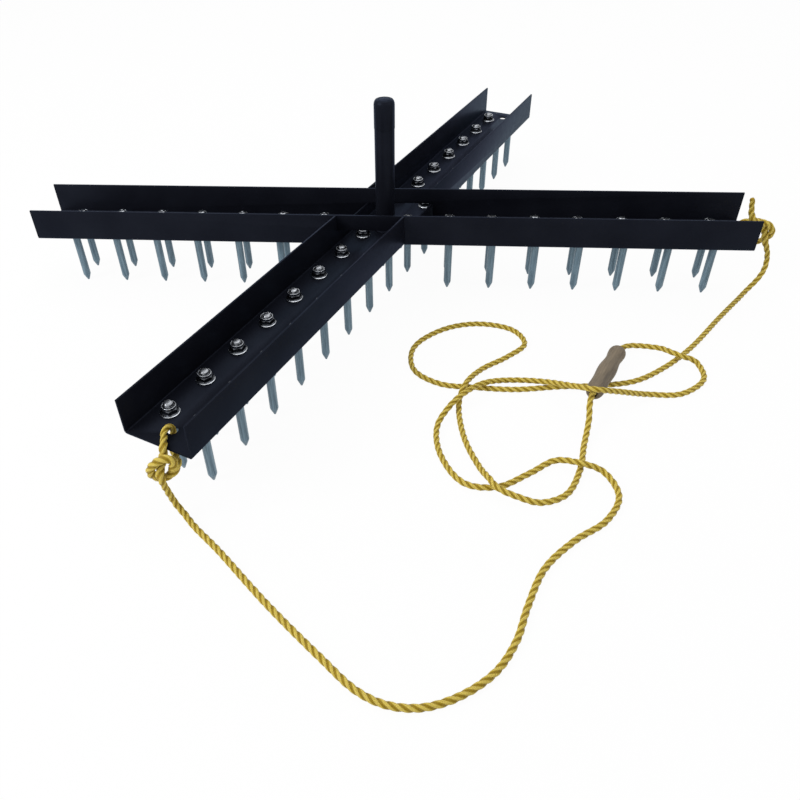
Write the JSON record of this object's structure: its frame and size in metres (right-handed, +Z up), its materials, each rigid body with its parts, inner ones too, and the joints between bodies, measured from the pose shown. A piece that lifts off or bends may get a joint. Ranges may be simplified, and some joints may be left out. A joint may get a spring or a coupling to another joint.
{
  "type": "drag harrow",
  "caption": "X-shaped drag harrow: two crossed steel channels with rows of pointed tines below, an upright post for loose weights, and a knotted pull rope threaded through a wooden handle.",
  "frame": {"origin": "on the ground, at the tine points' level, under the point where the two channels cross", "axes": "+X along the upper channel, away from its free end and towards the end the rope is tied to; +Z up; +Y away from the end of the lower channel that the rope is tied to"},
  "size_m": [1.2642, 1.4069, 0.3258],
  "materials": {
    "black_coat": "gloss",
    "tine_steel": "galvanised",
    "handle_wood": "weathered",
    "rope_fibre": "twisted"
  },
  "bodies": {
    "frame": {"lower_channel": "black_coat", "lower_tine_left_01": "tine_steel", "lower_tine_left_02": "tine_steel", "lower_tine_left_03": "tine_steel", "lower_tine_left_04": "tine_steel", "lower_tine_left_05": "tine_steel", "lower_tine_left_06": "tine_steel", "lower_tine_left_11": "tine_steel", "lower_tine_left_12": "tine_steel", "lower_tine_left_13": "tine_steel", "lower_tine_left_14": "tine_steel", "lower_tine_left_15": "tine_steel", "lower_tine_left_16": "tine_steel", "lower_tine_right_01": "tine_steel", "lower_tine_right_02": "tine_steel", "lower_tine_right_03": "tine_steel", "lower_tine_right_04": "tine_steel", "lower_tine_right_05": "tine_steel", "lower_tine_right_06": "tine_steel", "lower_tine_right_11": "tine_steel", "lower_tine_right_12": "tine_steel", "lower_tine_right_13": "tine_steel", "lower_tine_right_14": "tine_steel", "lower_tine_right_15": "tine_steel", "lower_tine_right_16": "tine_steel", "post_cap": "black_coat", "pull_rope_front": "rope_fibre", "pull_rope_right": "rope_fibre", "upper_channel": "black_coat", "upper_tine_left_01": "tine_steel", "upper_tine_left_02": "tine_steel", "upper_tine_left_03": "tine_steel", "upper_tine_left_04": "tine_steel", "upper_tine_left_05": "tine_steel", "upper_tine_left_06": "tine_steel", "upper_tine_left_07": "tine_steel", "upper_tine_left_10": "tine_steel", "upper_tine_left_11": "tine_steel", "upper_tine_left_12": "tine_steel", "upper_tine_left_13": "tine_steel", "upper_tine_left_14": "tine_steel", "upper_tine_left_15": "tine_steel", "upper_tine_left_16": "tine_steel", "upper_tine_right_01": "tine_steel", "upper_tine_right_02": "tine_steel", "upper_tine_right_03": "tine_steel", "upper_tine_right_04": "tine_steel", "upper_tine_right_05": "tine_steel", "upper_tine_right_06": "tine_steel", "upper_tine_right_07": "tine_steel", "upper_tine_right_10": "tine_steel", "upper_tine_right_11": "tine_steel", "upper_tine_right_12": "tine_steel", "upper_tine_right_13": "tine_steel", "upper_tine_right_14": "tine_steel", "upper_tine_right_15": "tine_steel", "upper_tine_right_16": "tine_steel", "weight_post": "black_coat"},
    "handle": {"pull_handle": "handle_wood"}
  },
  "joints": [
    {"name": "handle_spin", "type": "hinge", "parent": "frame", "child": "handle", "pos_m": [0.3484, -0.28707, 0.02186], "axis": [-0.4195, -0.8983, 0.1305], "continuous": true}
  ]
}
